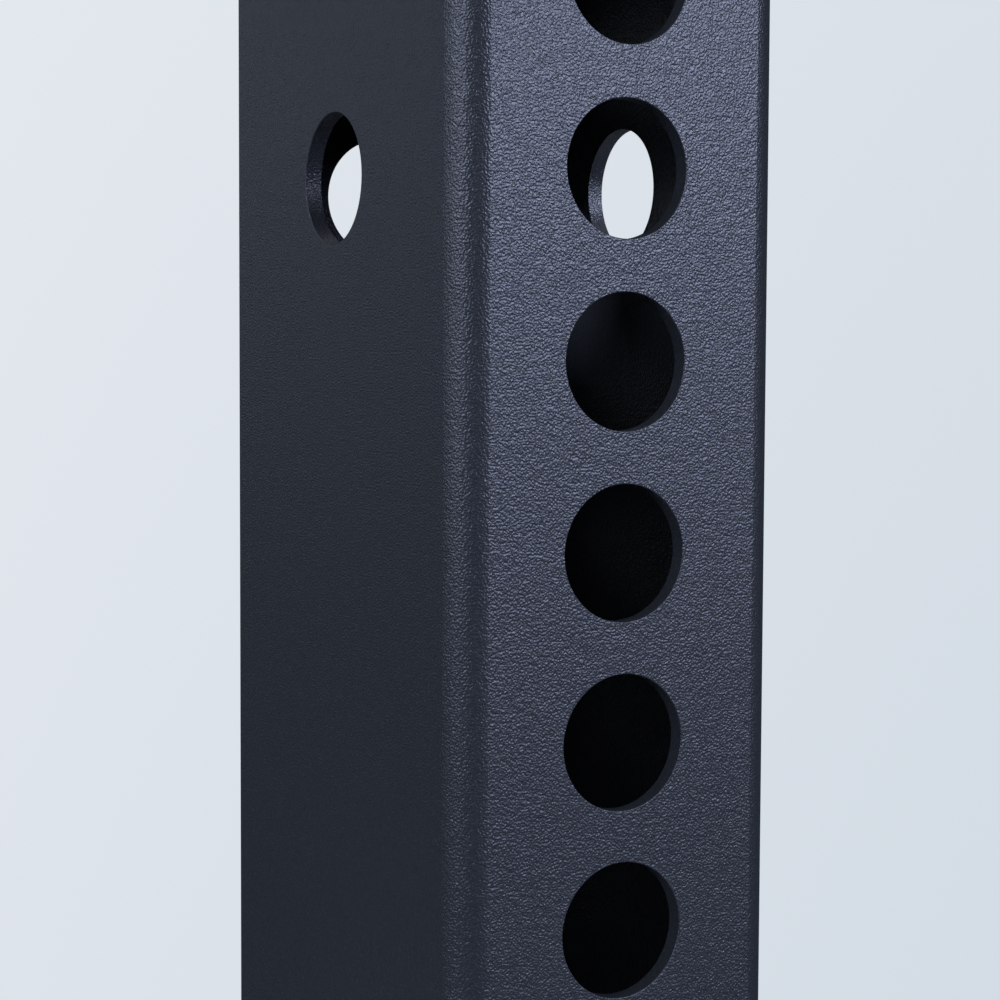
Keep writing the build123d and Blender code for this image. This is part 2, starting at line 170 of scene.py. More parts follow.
def punched_cell(shell, wall, z, low, high, segments):
    """One cell of a wall round a hole at height z: both faces, both rims and the bore."""
    steps = [2 * math.pi * i / segments for i in range(segments)]

    def circle(radius, depth, inward, outward):
        rows = []
        for a in steps:
            point = wall.at(radius * math.cos(a), z + radius * math.sin(a), depth)
            rows.append((point, wall.way(-inward * math.cos(a), -inward * math.sin(a), outward)))
        return rows

    rows = []
    for j in range(RIM_STEPS + 1):
        a = math.pi / 2 * j / RIM_STEPS
        radius = HOLE_R + RIM_R * (1 - math.sin(a))
        rows.append(circle(radius, RIM_R * (1 - math.cos(a)), math.sin(a), math.cos(a)))
    for j in range(INNER_RIM_STEPS + 1):
        a = math.pi / 2 * j / INNER_RIM_STEPS
        radius = HOLE_R + INNER_RIM_R * (1 - math.cos(a))
        depth = WALL - INNER_RIM_R * (1 - math.sin(a))
        rows.append(circle(radius, depth, math.cos(a), -math.sin(a)))
    for outer, inner in zip(rows, rows[1:]):
        shell.strip(outer, inner)

    for ring, depth, outward in ((rows[0], 0.0, 1), (rows[-1], WALL, -1)):
        normal = wall.outward * outward
        corners = [(wall.at(u * wall.half, v, depth), normal)
                   for u, v in ((1, high), (-1, high), (-1, low), (1, low))]
        quarter = segments // 4
        for q in range(4):
            corner, following = corners[q], corners[(q + 1) % 4]
            for i in range(q * quarter, (q + 1) * quarter):
                add_turned(shell, outward, corner, ring[(i + 1) % segments], ring[i])
            add_turned(shell, outward, corner, following, ring[(q + 1) * quarter % segments])


def add_turned(shell, outward, *corners):
    """A face seen from outside, or turned over where the face looks inwards."""
    shell.face(*(corners if outward > 0 else corners[::-1]))


def punched_tube(width, depth, bottom, top, fine):
    """Rectangular tube about the Z axis, with its hole grid; fine cells lie round the camera's hole."""
    half_x = width / 2 - CORNER_R
    half_y = depth / 2 - CORNER_R
    walls = [
        Wall((0, -depth / 2, 0), (1, 0, 0), (0, -1, 0), half_x),
        Wall((width / 2, 0, 0), (0, 1, 0), (1, 0, 0), half_y),
        Wall((0, depth / 2, 0), (-1, 0, 0), (0, 1, 0), half_x),
        Wall((-width / 2, 0, 0), (0, -1, 0), (-1, 0, 0), half_y),
    ]
    centres = [(half_x, -half_y), (half_x, half_y), (-half_x, half_y), (-half_x, -half_y)]
    corner_steps = FINE_CORNER if fine else PLAIN_CORNER
    levels = [bottom] + [hole_z(n - 0.5) for n in range(HOLE_COUNT + 1)] + [top]
    shell = Shell()

    def corner_row(number, z, radius, outward):
        # A roll-formed corner: its arc meets each flat at a slight angle
        facing = math.pi / 2 * (number - 0.5)
        half = math.pi / 4 - CORNER_KINK
        wide = radius * math.sin(math.pi / 4) / math.sin(half)
        shift = radius * math.cos(math.pi / 4) - wide * math.cos(half)
        cx = centres[number][0] + shift * math.cos(facing)
        cy = centres[number][1] + shift * math.sin(facing)
        row = []
        for i in range(corner_steps + 1):
            a = facing + half * (2 * i / corner_steps - 1)
            x, y = math.cos(a), math.sin(a)
            row.append((Vector((cx + wide * x, cy + wide * y, z)), Vector((x, y, 0)) * outward))
        return row

    for step, (low, high) in enumerate(zip(levels, levels[1:])):
        number = step - 1
        punched = 0 <= number < HOLE_COUNT
        near = fine and abs(number - VIEW_HOLE + VIEW_SPAN // 4) <= VIEW_SPAN // 2
        segments = FINE_HOLE if near else PLAIN_HOLE
        for side, wall in enumerate(walls):
            if punched and (side % 2 == 0 or number % SIDE_LADDER == FIRST_SIDE_HOLE):
                punched_cell(shell, wall, hole_z(number), low, high, segments)
            else:
                for skin, outward in ((0.0, 1), (WALL, -1)):
                    corners = [(wall.at(u * wall.half, z, skin), wall.outward * outward)
                               for u, z in ((-1, low), (1, low), (1, high), (-1, high))]
                    add_turned(shell, outward, *corners)
            for radius, outward in ((CORNER_R, 1), (CORNER_R - WALL, -1)):
                lower = corner_row(side, low, radius, outward)
                upper = corner_row(side, high, radius, outward)
                for i in range(corner_steps):
                    add_turned(shell, outward, lower[i], lower[i + 1], upper[i + 1], upper[i])

    for z, way in ((bottom, -1), (top, 1)):
        normal = Vector((0, 0, way))
        outer, inner = [], []
        for number in range(4):
            outer += [(p, normal) for p, _ in corner_row(number, z, CORNER_R, 1)]
            inner += [(p, normal) for p, _ in corner_row(number, z, CORNER_R - WALL, 1)]
        for i in range(len(outer)):
            j = (i + 1) % len(outer)
            add_turned(shell, way, outer[i], outer[j], inner[j], inner[i])
    return shell


def standing(point, axis):
    """Matrix that stands a shape drawn along +Z at a point, along an axis."""
    return Matrix.Translation(point) @ Vector(axis).to_track_quat("Z", "Y").to_matrix().to_4x4()


def rounded(corners, steps=3):
    """Open profile through (radius, height, rounding) corners, each rounded by an arc."""
    points = []
    for i, (r, z, rounding) in enumerate(corners):
        here = Vector((r, z))
        if not rounding:
            points.append(here)
            continue
        before = (Vector(corners[i - 1][:2]) - here).normalized()
        after = (Vector(corners[i + 1][:2]) - here).normalized()
        half = before.angle(after) / 2
        centre = here + (before + after).normalized() * rounding / math.sin(half)
        start = here + before * rounding / math.tan(half) - centre
        end = here + after * rounding / math.tan(half) - centre
        for k in range(steps + 1):
            points.append(centre + start.lerp(end, k / steps).normalized() * rounding)
    return points


def turned(shell, profile, place, segments):
    """Turn an open (radius, height) profile, which runs up the outside, about the place's Z axis."""
    turn = place.to_3x3()
    runs = [(b - a).normalized() for a, b in zip(profile, profile[1:])]
    ways = [Vector((run.y, -run.x)) for run in runs]

    def row(point, way):
        corners = []
        for i in range(segments):
            a = math.tau * i / segments
            x, y = math.cos(a), math.sin(a)
            at = place @ Vector((point.x * x, point.x * y, point.y))
            corners.append((at, turn @ Vector((way.x * x, way.x * y, way.y))))
        return corners

    def blended(first, second):
        soft = first.dot(second) > math.cos(SMOOTH_BELOW)
        return (first + second).normalized() if soft else None

    for i, way in enumerate(ways):
        low = blended(ways[i - 1], way) if i else None
        high = blended(way, ways[i + 1]) if i + 1 < len(ways) else None
        shell.strip(row(profile[i], low or way), row(profile[i + 1], high or way))


def add_hexagon(shell, place, flats, height, bore, chamfer_r):
    """Hexagon head or nut on z = 0, open below: flat sides, their upper corners turned off by a cone."""
    turn = place.to_3x3()
    up = Vector((0, 0, 1))
    rows = {"foot": [], "rim": [], "cone": [], "top": [], "lid": [], "hole": []}

    def add(row, point, normal):
        rows[row].append((place @ point, turn @ normal))

    for i in range(6 * HEX_STEPS):
        facing = math.tau * (i // HEX_STEPS + 0.5) / 6
        flat = Vector((math.cos(facing), math.sin(facing), 0))
        for step in (i, i + 1):
            a = math.tau * step / (6 * HEX_STEPS)
            out = Vector((math.cos(a), math.sin(a), 0))
            reach = flats / 2 / math.cos(a - facing)
            rim = height - max(0.0, reach - chamfer_r) * math.tan(HEX_CONE)
            slope = out * math.sin(HEX_CONE) + up * math.cos(HEX_CONE)
            add("foot", out * reach, flat)
            add("rim", out * reach + up * rim, flat)
            add("cone", out * reach + up * rim, slope)
            add("top", out * chamfer_r + up * height, slope)
            add("lid", out * chamfer_r + up * height, up)
            add("hole", out * bore + up * height, up)
    for i in range(0, 12 * HEX_STEPS, 2):
        for low, high in (("foot", "rim"), ("cone", "top"), ("lid", "hole")):
            shell.face(rows[low][i], rows[low][i + 1], rows[high][i + 1], rows[high][i])


def threaded(shell, place, radius, pitch, length, chamfer):
    """Threaded rod running from z = 0 down to its chamfered tip at z = -length."""
    turn = place.to_3x3()
    depth = THREAD_DEPTH * pitch
    probe = THREAD_PROBE * pitch
    rows = int(length / pitch * THREAD_ROWS)

    def reach(z, a):
        phase = (z / pitch + a / math.tau) % 1.0
        ridge = radius - depth * abs(2 * phase - 1)
        return min(ridge, radius - chamfer + (z + length))

    def corner(z, i):
        a = math.tau * i / THREAD_SEGMENTS
        slope = (reach(z + probe, a) - reach(z - probe, a)) / (2 * probe)
        out = Vector((math.cos(a), math.sin(a), 0))
        normal = (out - Vector((0, 0, slope))).normalized()
        return place @ (out * reach(z, a) + Vector((0, 0, z))), turn @ normal

    grid = [[corner(-length + length * k / rows, i) for i in range(THREAD_SEGMENTS)]
            for k in range(rows + 1)]
    for low, high in zip(grid, grid[1:]):
        shell.strip(low, high)
    down = turn @ Vector((0, 0, -1))
    shell.face(*[(p, down) for p, _ in reversed(grid[0])])


def bead(shell, path, radius, closed=True):
    """Weld bead swept along a path of points, rippled like laid coins."""
    count = len(path)
    rings, far = [], 0.0
    for i, point in enumerate(path):
        after = path[(i + 1) % count] if closed or i + 1 < count else point
        before = path[i - 1] if closed or i else point
        along = (after - before).normalized()
        side = along.orthogonal().normalized()
        other = along.cross(side)
        far += (point - before).length
        swell = radius * (1 + BEAD_SWELL * math.cos(math.tau * far / BEAD_RIPPLE))
        row = []
        for k in range(BEAD_SIDES):
            a = math.tau * k / BEAD_SIDES
            out = side * math.cos(a) + other * math.sin(a)
            row.append((point + out * swell, out))
        rings.append(row)
    for i in range(count if closed else count - 1):
        near, following = rings[i], rings[(i + 1) % count]
        shift = max(range(BEAD_SIDES), key=lambda k: following[k][1].dot(near[0][1]))
        shell.strip(near, following[shift:] + following[:shift])
    if not closed:
        shell.face(*reversed(rings[0]))
        shell.face(*rings[-1])


def loop_path(centre, u, v, half_u, half_v, corner):
    """Closed rounded-rectangle path of short steps about a centre."""
    u, v = Vector(u), Vector(v)
    points = []
    for q in range(4):
        cu = (half_u - corner) * (1, -1, -1, 1)[q]
        cv = (half_v - corner) * (1, 1, -1, -1)[q]
        for k in range(5):
            a = math.pi / 2 * (q + k / 4)
            points.append(centre + u * (cu + corner * math.cos(a)) + v * (cv + corner * math.sin(a)))
    return stepped(points + points[:1])[:-1]


def stepped(points):
    """The same path in steps of at most a third of a ripple."""
    path = [points[0]]
    for a, b in zip(points, points[1:]):
        pieces = max(1, math.ceil((b - a).length / (BEAD_RIPPLE / 3)))
        path += [a.lerp(b, k / pieces) for k in range(1, pieces + 1)]
    return path


WELD_DISTANCE = 0.000002
FLAT_BELOW = math.radians(0.5)
BEVEL_OVER = math.radians(35)
SHADE_SHARP_OVER = math.radians(50)


def refined(node, width, keep=None):
    """A copy of a CAD node's mesh with its sharp edges rounded; keep picks the faces by their centres."""
    source = frame["nodes"][node]
    bm = bmesh.new()
    bm.from_mesh(source.data)
    bm.transform(source.matrix_world)
    bmesh.ops.remove_doubles(bm, verts=bm.verts, dist=WELD_DISTANCE)
    if keep:
        lost = [face for face in bm.faces if not keep(face.calc_center_median())]
        bmesh.ops.delete(bm, geom=lost, context="FACES")
    bmesh.ops.dissolve_limit(bm, angle_limit=FLAT_BELOW, verts=bm.verts, edges=bm.edges)
    sharp = [e for e in bm.edges if len(e.link_faces) == 2 and e.calc_face_angle() > BEVEL_OVER]
    bmesh.ops.bevel(bm, geom=sharp, offset=width, segments=2, profile=0.5, affect="EDGES",
                    clamp_overlap=True)
    for face in bm.faces:
        face.smooth = True
    for edge in bm.edges:
        edge.smooth = len(edge.link_faces) != 2 or edge.calc_face_angle() < SHADE_SHARP_OVER
    mesh = bpy.data.meshes.new(f"refined_{node}")
    bm.to_mesh(mesh)
    bm.free()
    piece = bpy.data.objects.new(f"refined_{node}", mesh)
    bpy.context.scene.collection.objects.link(piece)
    weigh = piece.modifiers.new("weighted_normals", "WEIGHTED_NORMAL")
    weigh.keep_sharp = True
    return piece


# ---------------------------------------------------------------- materials

class Tree:
    """A material's nodes, built by short calls."""

    def __init__(self, name):
        self.material = bpy.data.materials.new(name)
        self.material.use_nodes = True
        self.nodes = self.material.node_tree.nodes
        self.links = self.material.node_tree.links
        self.shader = self.nodes["Principled BSDF"]
        self.place = self.nodes.new("ShaderNodeTexCoord").outputs["Object"]

    def node(self, kind, inputs=(), **settings):
        made = self.nodes.new(kind)
        for key, value in settings.items():
            setattr(made, key, value)
        for key, value in dict(inputs).items():
            self.set(made, key, value)
        return made

    def set(self, node, key, value):
        if isinstance(value, bpy.types.NodeSocket):
            self.links.new(value, node.inputs[key])
        else:
            node.inputs[key].default_value = value

    def noise(self, size, detail=2.0, roughness=0.5):
        """Noise whose features are about size metres across, from 0 to 1."""
        inputs = {"Vector": self.place, "Scale": 1 / size, "Detail": detail, "Roughness": roughness}
        return self.node("ShaderNodeTexNoise", inputs).outputs["Fac"]

    def remap(self, value, low, high, to_low, to_high):
        inputs = {"Value": value, "From Min": low, "From Max": high, "To Min": to_low, "To Max": to_high}
        return self.node("ShaderNodeMapRange", inputs).outputs["Result"]

    def sum(self, value, more):
        return self.node("ShaderNodeMath", {0: value, 1: more}, operation="ADD").outputs[0]

    def mix(self, share, first, second):
        inputs = {0: share, 6: first, 7: second}
        return self.node("ShaderNodeMix", inputs, data_type="RGBA").outputs[2]

    def bump(self, height, depth, under=None):
        inputs = {"Height": height, "Distance": depth, "Strength": 1.0}
        if under is not None:
            inputs["Normal"] = under
        return self.node("ShaderNodeBump", inputs).outputs["Normal"]

    def finish(self, **inputs):
        for key, value in inputs.items():
            self.set(self.shader, key.replace("_", " "), value)
        return self.material


COAT_SPECULAR = 0.3
COAT_SHEEN = (0.76, 0.81, 1.0, 1)
PLATING_DEPTH = 0.000003


def powder_coat(name, dark, light, roughness, grain, depth):
    """Textured powder coat: a fine pebbled film whose tone and sheen drift a little."""
    tree = Tree(name)
    pebble = tree.noise(grain, detail=0.0)
    swell = tree.noise(grain * 6, detail=1.0)
    drift = tree.noise(0.12, detail=3.0)
    tone = tree.remap(tree.noise(grain * 2, detail=2.0), 0.3, 0.7, 0.0, 1.0)
    rough = tree.remap(drift, 0.3, 0.7, roughness - 0.03, roughness + 0.03)
    relief = tree.bump(swell, depth * 0.5)
    relief = tree.bump(pebble, depth, relief)
    tree.set(tree.shader, "Specular IOR Level", COAT_SPECULAR)
    tree.set(tree.shader, "Specular Tint", COAT_SHEEN)
    return tree.finish(Base_Color=tree.mix(tone, dark, light), Roughness=rough, Normal=relief)


def moulded(name, dark, light, roughness, grain, depth):
    """Moulded plastic or rubber with a fine grain."""
    tree = Tree(name)
    pebble = tree.noise(grain, detail=2.0)
    drift = tree.noise(0.05, detail=3.0)
    tone = tree.mix(drift, dark, light)
    rough = tree.remap(pebble, 0.3, 0.7, roughness - 0.05, roughness + 0.05)
    return tree.finish(Base_Color=tone, Roughness=rough, Normal=tree.bump(pebble, depth))


def plated(name, dark, light, roughness, scratch):
    """Zinc-plated or ground steel with fine directionless scratches and drifting sheen."""
    tree = Tree(name)
    cloud = tree.noise(0.09, detail=2.0)
    fine = tree.noise(scratch, detail=3.0, roughness=0.7)
    rough = tree.remap(cloud, 0.3, 0.7, roughness - 0.03, roughness + 0.04)
    tree.set(tree.shader, "Metallic", 1.0)
    tone = tree.mix(cloud, dark, light)
    return tree.finish(Base_Color=tone, Roughness=rough, Normal=tree.bump(fine, PLATING_DEPTH))


def knurled(name, dark, light, roughness, centre, radius, pitch):
    """Diamond knurling on a round bar that runs along X through a centre, with painted shade darkening its
    grooves.
    """
    tree = Tree(name)
    tree.set(tree.shader, "Metallic", 1.0)
    parts = tree.node("ShaderNodeSeparateXYZ", {0: tree.place}).outputs
    level = tree.sum(parts["Z"], -centre.z)
    depth = tree.sum(parts["Y"], -centre.y)
    around = tree.node("ShaderNodeMath", {0: level, 1: depth}, operation="ARCTAN2").outputs[0]
    arc = tree.node("ShaderNodeMath", {0: around, 1: radius}, operation="MULTIPLY").outputs[0]
    waves = []
    for way in ("ADD", "SUBTRACT"):
        slant = tree.node("ShaderNodeMath", {0: parts["X"], 1: arc}, operation=way).outputs[0]
        waves.append(tree.node("ShaderNodeMath", {0: slant, 1: pitch}, operation="PINGPONG").outputs[0])
    height = tree.node("ShaderNodeMath", {0: waves[0], 1: waves[1]}, operation="MINIMUM").outputs[0]
    relief = tree.bump(tree.remap(height, 0.0, pitch, 0.0, 1.0), pitch / 6)
    # Painted shade: the base colour runs from dark at the bottom of each groove to light on the ridges
    tone = tree.mix(tree.remap(height, 0.0, pitch / 2, 0.0, 1.0), dark, light)
    return tree.finish(Base_Color=tone, Roughness=roughness, Normal=relief)


BAR_R = 0.016

COAT = powder_coat("powder_coat", (0.0075, 0.0085, 0.0115, 1), (0.0105, 0.012, 0.0155, 1),
                   roughness=0.39, grain=0.00028, depth=0.0001)
PLASTIC = moulded("black_nylon", (0.010, 0.010, 0.011, 1), (0.016, 0.016, 0.017, 1),
                  roughness=0.5, grain=0.0005, depth=0.00002)
RUBBER = moulded("black_rubber", (0.009, 0.009, 0.009, 1), (0.014, 0.014, 0.0135, 1),
                 roughness=0.72, grain=0.0004, depth=0.00003)
LINER = moulded("liner_polyethylene", (0.018, 0.018, 0.019, 1), (0.027, 0.027, 0.028, 1),
                roughness=0.42, grain=0.0008, depth=0.00001)
ZINC = plated("bright_zinc", (0.42, 0.43, 0.44, 1), (0.56, 0.57, 0.58, 1), roughness=0.32, scratch=0.0002)
STEEL = plated("ground_steel", (0.38, 0.385, 0.39, 1), (0.46, 0.465, 0.47, 1), roughness=0.36,
               scratch=0.00025)
# The knurl's dark colour is painted shade in its grooves; the light colour is the steel on the ridges
KNURL = knurled("knurled_steel", (0.16, 0.16, 0.16, 1), (0.44, 0.445, 0.45, 1), roughness=0.36,
                centre=middle("pull_up_bar"), radius=BAR_R, pitch=0.0008)

BY_SLOT = {
    "powder_coat": COAT, "bracket_coat": COAT, "bar_steel": STEEL, "horn_steel": STEEL,
    "zinc_hardware": ZINC, "liner_plastic": LINER, "cap_plastic": PLASTIC, "rubber": RUBBER,
}
SLOT_OF = {row["node"]: row["material_slot"] for row in frame["record"]["subparts"]}


# ---------------------------------------------------------------- the object

def stand_for(piece, node, body="root", coat=None):
    """Give a piece its finish and its body, and let it stand for a CAD node."""
    finish = coat or SLOT_OF[node]
    piece.data.materials.append(BY_SLOT[finish])
    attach(piece, body)
    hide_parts(node)


def make_uprights():
    shells = {}
    for end in ENDS:
        for side in SIDES:
            node = f"upright_{end}_{side}"
            low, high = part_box(node)
            fine = (end, side) == ("front", "right")
            if fine not in shells:
                shells[fine] = punched_tube(high.x - low.x, high.y - low.y, low.z, high.z, fine)
            centre = ((low.x + high.x) / 2, (low.y + high.y) / 2, 0)
            stand_for(shells[fine].build(f"punched_{node}", centre), node)


FRAME_Y = (middle("upright_front_left").y + middle("upright_rear_left").y) / 2
UPRIGHT_X = middle("upright_front_right").x
UPRIGHT_Y = middle("upright_rear_right").y - FRAME_Y
TUBE_NARROW, TUBE_WIDE = 0.050, 0.076
FRAME_HALF_Y = UPRIGHT_Y + TUBE_WIDE / 2
INSIDE_Y = UPRIGHT_Y - TUBE_WIDE / 2
INSIDE_X = UPRIGHT_X - TUBE_NARROW / 2

# Hole numbers that the members, horns, hooks and safeties are fixed at, counted up each upright
SIDE_MEMBER_HOLES = (0, 72)
LOWER_CROSS_HOLE = 1
UPPER_CROSS_HOLE = 73
HORN_HOLES = {"lower": 16, "upper": 34}
JHOOK_HOLE = 52
SAFETY_HOLE = 28
BOLT_STEP = 6
HORN_BOLT_STEP = 2

# Hardware and the plates it holds
BOLT_R = 0.008
BOLT_PITCH = 0.002
BOLT_TIP_CHAMFER = 0.0012
HEX_FLATS = 0.024
HEX_TOP_R = 0.0112
HEAD_H = 0.010
NUT_H = 0.014
WASHER_R = 0.015
WASHER_HOLE_R = 0.0088
WASHER_T = 0.003
WASHER_EDGE_R = 0.0004
PROUD = 0.005
END_PLATE_T = 0.006
HORN_PLATE_T = 0.008


def bolt_places():
    """Each family's bolts as (place of the joint's outer face, grip)."""
    places = {"side_member": [], "crossmember": [], "plate_horn": []}
    for x in (-UPRIGHT_X, UPRIGHT_X):
        for first in SIDE_MEMBER_HOLES:
            for number in (first, first + BOLT_STEP):
                for way in (-1, 1):
                    at = (x, FRAME_Y + way * FRAME_HALF_Y, hole_z(number))
                    places["side_member"].append((standing(at, (0, way, 0)), TUBE_WIDE + END_PLATE_T))
        for number in HORN_HOLES.values():
            for step in (-HORN_BOLT_STEP, HORN_BOLT_STEP):
                at = (x, FRAME_Y + FRAME_HALF_Y + HORN_PLATE_T, hole_z(number + step))
                places["plate_horn"].append((standing(at, (0, 1, 0)), TUBE_WIDE + HORN_PLATE_T))
    rows = ((UPRIGHT_Y, LOWER_CROSS_HOLE), (UPRIGHT_Y, UPPER_CROSS_HOLE), (-UPRIGHT_Y, UPPER_CROSS_HOLE))
    for y, first in rows:
        for number in (first, first + BOLT_STEP):
            for way in (-1, 1):
                at = (way * (UPRIGHT_X + TUBE_NARROW / 2), FRAME_Y + y, hole_z(number))
                places["crossmember"].append((standing(at, (way, 0, 0)), TUBE_NARROW + END_PLATE_T))
    return places


def add_washer(shell, place):
    soft = WASHER_EDGE_R
    profile = rounded([(WASHER_HOLE_R, WASHER_T, 0), (WASHER_HOLE_R, 0, soft), (WASHER_R, 0, soft),
                       (WASHER_R, WASHER_T, soft), (WASHER_HOLE_R, WASHER_T, 0)])
    turned(shell, profile, place, WASHER_SEGMENTS)


def make_fasteners():
    """Bolts threaded from inside their nuts to their tips, with washers under heads and nuts."""
    for family, places in bolt_places().items():
        bolts, washers, nuts = Shell(), Shell(), Shell()
        for place, grip in places:
            stack = grip + WASHER_T
            head = place @ Matrix.Translation((0, 0, WASHER_T))
            foot = place @ Matrix.Translation((0, 0, -stack))
            under = foot @ Matrix.Rotation(math.pi, 4, "X")
            thread = foot @ Matrix.Translation((0, 0, -NUT_H / 2))
            add_hexagon(bolts, head, HEX_FLATS, HEAD_H, 0.0, HEX_TOP_R)
            shank = [Vector((BOLT_R, -stack - NUT_H / 2 - WASHER_T)), Vector((BOLT_R, 0))]
            turned(bolts, shank, head, THREAD_SEGMENTS)
            threaded(bolts, thread, BOLT_R, BOLT_PITCH, NUT_H / 2 + PROUD, BOLT_TIP_CHAMFER)
            add_washer(washers, place)
            add_washer(washers, foot)
            add_hexagon(nuts, under, HEX_FLATS, NUT_H, BOLT_R, HEX_TOP_R)
        for shell, kind in ((bolts, "bolts"), (washers, "washers"), (nuts, "nuts")):
            stand_for(shell.build(f"{family}_{kind}_turned"), f"{family}_{kind}")


def make_turned(node, name, parts, segments=TURNED_SEGMENTS):
    """One piece of shapes turned about their axes, each given as (profile, point, axis)."""
    shell = Shell()
    for profile, point, axis in parts:
        turned(shell, profile, standing(point, axis), segments)
    stand_for(shell.build(name), node, body_of(node))


# Safeties: pipe, bushes in its ends, rod through both uprights, and the rod's grip
PIPE_R = 0.030
PIPE_BORE_R = 0.027
PIPE_HALF = 0.375
PIPE_EDGE_R = 0.0006
PIPE_INNER_EDGE_R = 0.0004
BUSH_FLANGE_T = 0.005
BUSH_BORE_R = 0.0082
BUSH_PLUG_R = 0.0268
BUSH_DEPTH = 0.030
BUSH_EDGE_R = 0.0015
BUSH_SOFT_R = 0.0006
BUSH_SEAT_R = 0.0003
ROD_R = 0.008
ROD_GAP = 0.0004
ROD_PAST_REAR = 0.018
ROD_L = 2 * FRAME_HALF_Y + ROD_GAP + ROD_PAST_REAR
ROD_TIP = 0.003
ROD_SHOULDER_R = 0.0008
ROD_TIP_R = 0.0005
COLLAR_R = 0.015
COLLAR_T = 0.008
COLLAR_CHAMFER = 0.001
GRIP_R = 0.015
GRIP_L = 0.072
GRIP_RIBS = 7
GRIP_END_R = 0.004
GRIP_COLLAR_R = 0.003
GROOVE_HALF = 0.0019
GROOVE_DEPTH = 0.0014
GROOVE_R = 0.0009
GROOVE_EDGE_R = 0.0005


def pipe_profile():
    return rounded([
        (PIPE_BORE_R, 2 * PIPE_HALF, 0), (PIPE_BORE_R, 0, PIPE_INNER_EDGE_R), (PIPE_R, 0, PIPE_EDGE_R),
        (PIPE_R, 2 * PIPE_HALF, PIPE_EDGE_R), (PIPE_BORE_R, 2 * PIPE_HALF, 0),
    ])


def bush_profile():
    return rounded([
        (BUSH_BORE_R, -BUSH_DEPTH, 0), (BUSH_PLUG_R, -BUSH_DEPTH, 0), (BUSH_PLUG_R, 0, 0),
        (PIPE_R, 0, BUSH_SEAT_R), (PIPE_R, BUSH_FLANGE_T, BUSH_EDGE_R),
        (BUSH_BORE_R, BUSH_FLANGE_T, BUSH_SOFT_R), (BUSH_BORE_R, -BUSH_DEPTH, 0),
    ])


def rod_profile():
    return rounded([
        (0.0, -COLLAR_T - COLLAR_CHAMFER, 0), (COLLAR_R - COLLAR_CHAMFER, -COLLAR_T, 0),
        (COLLAR_R, -COLLAR_T + COLLAR_CHAMFER, 0), (COLLAR_R, -COLLAR_CHAMFER, 0),
        (COLLAR_R - COLLAR_CHAMFER, 0, 0), (ROD_R, 0, 0), (ROD_R, ROD_L - ROD_TIP, ROD_SHOULDER_R),
        (ROD_R - ROD_TIP, ROD_L, ROD_TIP_R), (0, ROD_L, 0),
    ])


def grip_profile():
    corners = [(0.0, 0.0, 0), (GRIP_R, 0.0, GRIP_END_R)]
    for i in range(1, GRIP_RIBS):
        z = i * GRIP_L / GRIP_RIBS
        corners += [(GRIP_R, z - GROOVE_HALF, GROOVE_EDGE_R), (GRIP_R - GROOVE_DEPTH, z, GROOVE_R),
                    (GRIP_R, z + GROOVE_HALF, GROOVE_EDGE_R)]
    return rounded(corners + [(GRIP_R, GRIP_L, GRIP_COLLAR_R), (0.0, GRIP_L, 0)])


def make_safeties():
    z = hole_z(SAFETY_HOLE)
    seat = FRAME_Y - FRAME_HALF_Y - ROD_GAP
    for side, way in SIDES.items():
        x = way * UPRIGHT_X
        make_turned(f"safety_pipe_{side}", f"turned_pipe_{side}",
                    [(pipe_profile(), (x, FRAME_Y - PIPE_HALF, z), (0, 1, 0))], FINE_SEGMENTS)
        make_turned(f"safety_bushes_{side}", f"turned_bushes_{side}",
                    [(bush_profile(), (x, FRAME_Y + end * PIPE_HALF, z), (0, end, 0)) for end in (-1, 1)])
        make_turned(f"safety_rod_{side}", f"turned_rod_{side}",
                    [(rod_profile(), (x, seat, z), (0, 1, 0))])
        make_turned(f"safety_grip_{side}", f"ribbed_grip_{side}",
                    [(grip_profile(), (x, seat - COLLAR_T - GRIP_L, z), (0, 1, 0))])


# Knurled lengths of the pull-up bar: how far out each reaches from the middle, its length and how proud
KNURL_X = 0.50
KNURL_L = 0.42
KNURL_PROUD = 0.0002

PLATE_EDGE_R = 0.0006
KEEP_SLACK = 0.0001


def make_pull_up_bar():
    """Bare bar between bevelled end plates, knurled where the hands go and smooth in the middle."""
    inner = INSIDE_X - END_PLATE_T
    y, z = FRAME_Y - UPRIGHT_Y, middle("pull_up_bar").z
    plates = refined("pull_up_bar", PLATE_EDGE_R, lambda at: abs(at.x) > inner - KEEP_SLACK)
    stand_for(plates, "pull_up_bar", coat="powder_coat")
    run = [Vector((BAR_R, 0.0)), Vector((BAR_R, 2 * inner))]
    make_turned("pull_up_bar", "bare_pull_up_bar", [(run, (-inner, y, z), (1, 0, 0))], FINE_SEGMENTS)
    shell = Shell()
    radius = BAR_R + KNURL_PROUD
    profile = [Vector((0.0, 0.0)), Vector((radius, 0.0)), Vector((radius, KNURL_L)), Vector((0.0, KNURL_L))]
    for x in (-KNURL_X, KNURL_X - KNURL_L):
        turned(shell, profile, standing((x, y, z), (1, 0, 0)), FINE_SEGMENTS)
    knurl = shell.build("knurled_grips")
    knurl.data.materials.append(KNURL)
    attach(knurl, "root")


# Weld beads, and where the J-hook's shelf and gusset meet its back plate
BEAD_R = 0.0028
JHOOK_BEAD_R = 0.0018
JHOOK_FRONT = 0.0064
JHOOK_SHELF_DROP = 0.075
JHOOK_BEADS = [
    ((-0.024, 0, 0), (-0.004, 0, 0)), ((0.004, 0, 0), (0.024, 0, 0)),
    ((-0.003, 0, -0.001), (-0.003, 0, -0.036)), ((0.003, 0, -0.001), (0.003, 0, -0.036)),
    ((-0.003, -0.002, 0), (-0.003, -0.048, 0)), ((0.003, -0.002, 0), (0.003, -0.048, 0)),
]


